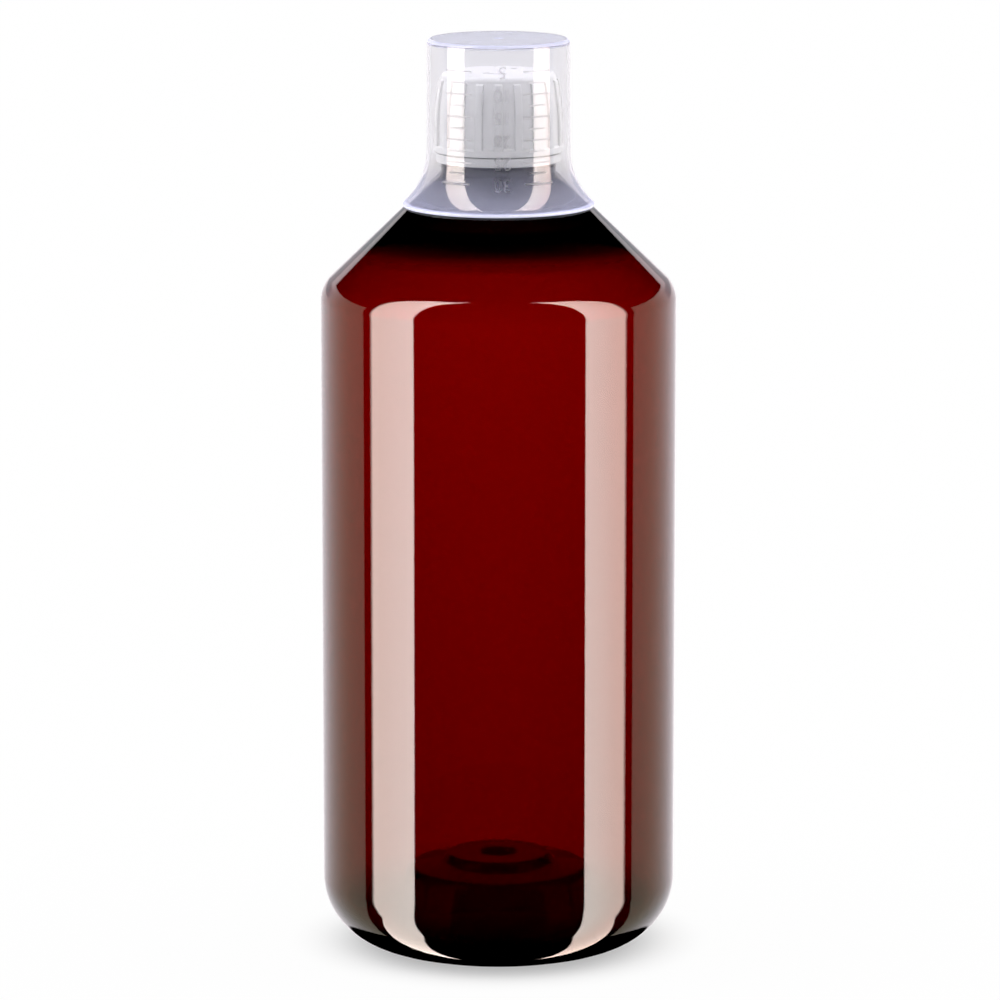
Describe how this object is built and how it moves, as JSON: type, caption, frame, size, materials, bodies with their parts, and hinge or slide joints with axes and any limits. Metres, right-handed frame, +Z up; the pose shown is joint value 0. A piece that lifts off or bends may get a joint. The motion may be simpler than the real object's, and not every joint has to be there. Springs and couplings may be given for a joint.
{
  "type": "amber syrup bottle with screw cap and dosing cup",
  "caption": "Round one-litre amber bottle with a cone shoulder, a ribbed screw cap with liner and tamper band, and a clear measuring cup turned over the cap.",
  "frame": {"origin": "centre of the foot ring, on the surface that the bottle stands on", "axes": "+Z up along the bottle's axis; the bottle is round, and -Y is the side that faces the viewer"},
  "size_m": [0.088, 0.088, 0.2278],
  "materials": {
    "amber_pet": "clear amber, polished",
    "white_cap_plastic": "moulded, satin gloss",
    "liner_foam": "fine closed foam",
    "clear_cup_plastic": "slightly milky, glossy"
  },
  "bodies": {
    "bottle": {"bottle": "amber_pet"},
    "cap_liner": {"cap_liner": "liner_foam"},
    "screw_cap": {"screw_cap": "white_cap_plastic"},
    "tamper_band": {"tamper_band": "white_cap_plastic"},
    "dosing_cup": {"dosing_cup": "clear_cup_plastic"}
  },
  "joints": [
    {"name": "cap_rise", "type": "slide", "parent": "bottle", "child": "cap_liner", "axis": [0, 0, 1], "range_m": [0, 0.03]},
    {"name": "cap_turn", "type": "hinge", "parent": "cap_liner", "child": "screw_cap", "pos_m": [0, 0, 0.21], "axis": [0, 0, 1], "range_deg": [0, 3600]},
    {"name": "cup_lift", "type": "slide", "parent": "screw_cap", "child": "dosing_cup", "axis": [0, 0, 1], "range_m": [0, 0.04]},
    {"name": "band_spin", "type": "hinge", "parent": "bottle", "child": "tamper_band", "pos_m": [0, 0, 0.1985], "axis": [0, 0, 1], "continuous": true}
  ],
  "couplings": [
    {"joint": "cap_rise", "follows": "cap_turn", "m_per_rad": 0.00047746}
  ]
}
